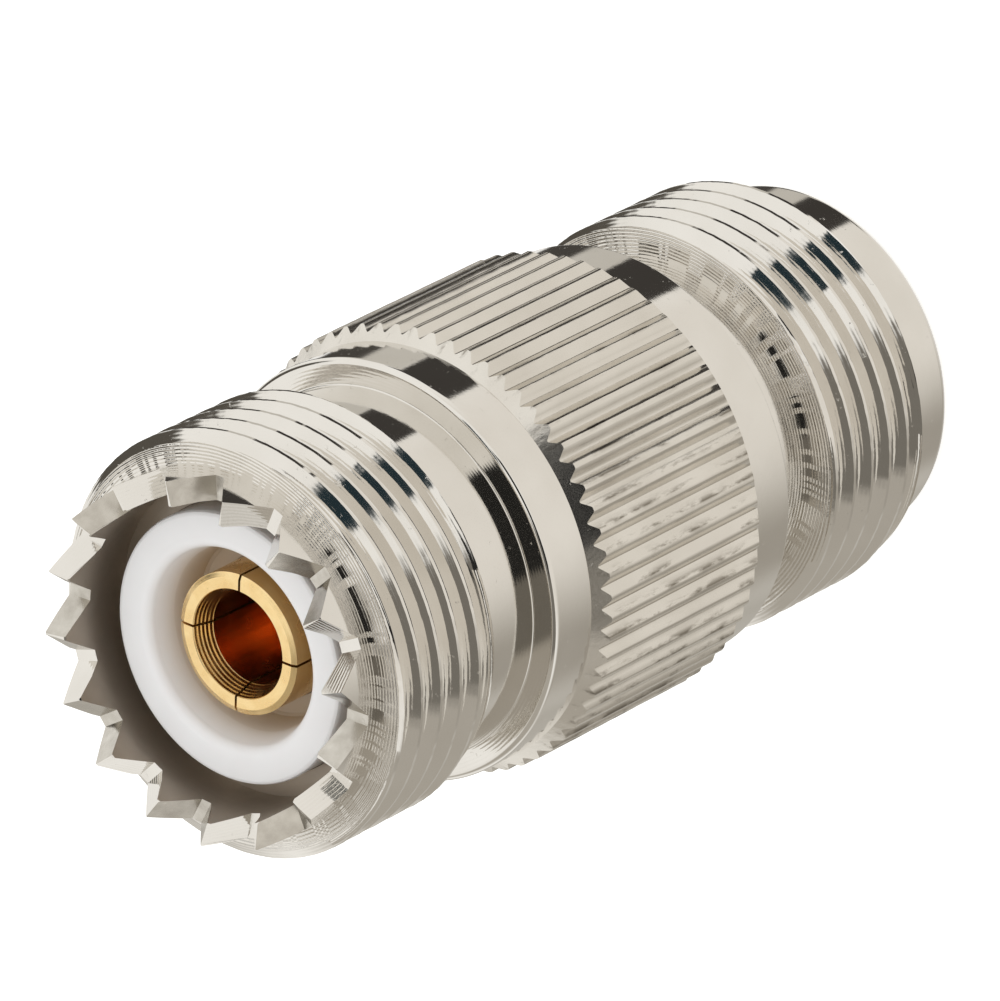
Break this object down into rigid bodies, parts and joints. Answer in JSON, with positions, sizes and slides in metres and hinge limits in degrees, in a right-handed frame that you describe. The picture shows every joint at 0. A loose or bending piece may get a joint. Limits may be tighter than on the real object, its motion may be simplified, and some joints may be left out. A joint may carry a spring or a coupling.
{
  "type": "coaxial adapter",
  "caption": "Straight barrel adapter joining two coaxial plugs: a toothed socket at one end, a smooth-lipped socket at the other, matching outer threads and a knurled grip between them.",
  "frame": {"origin": "centre of the smooth lip's end face, which the adapter stands on", "axes": "+Z along the barrel, from the smooth-lipped end up to the toothed end"},
  "size_m": [0.017, 0.017, 0.0348],
  "materials": {
    "nickel": "bright nickel plate over turned brass",
    "insulator": "smooth white fluoropolymer",
    "gold": "pale gold plate over turned brass"
  },
  "bodies": {
    "root": {"shell": "nickel", "front_insulator": "insulator", "rear_insulator": "insulator", "contact": "gold"}
  },
  "joints": []
}
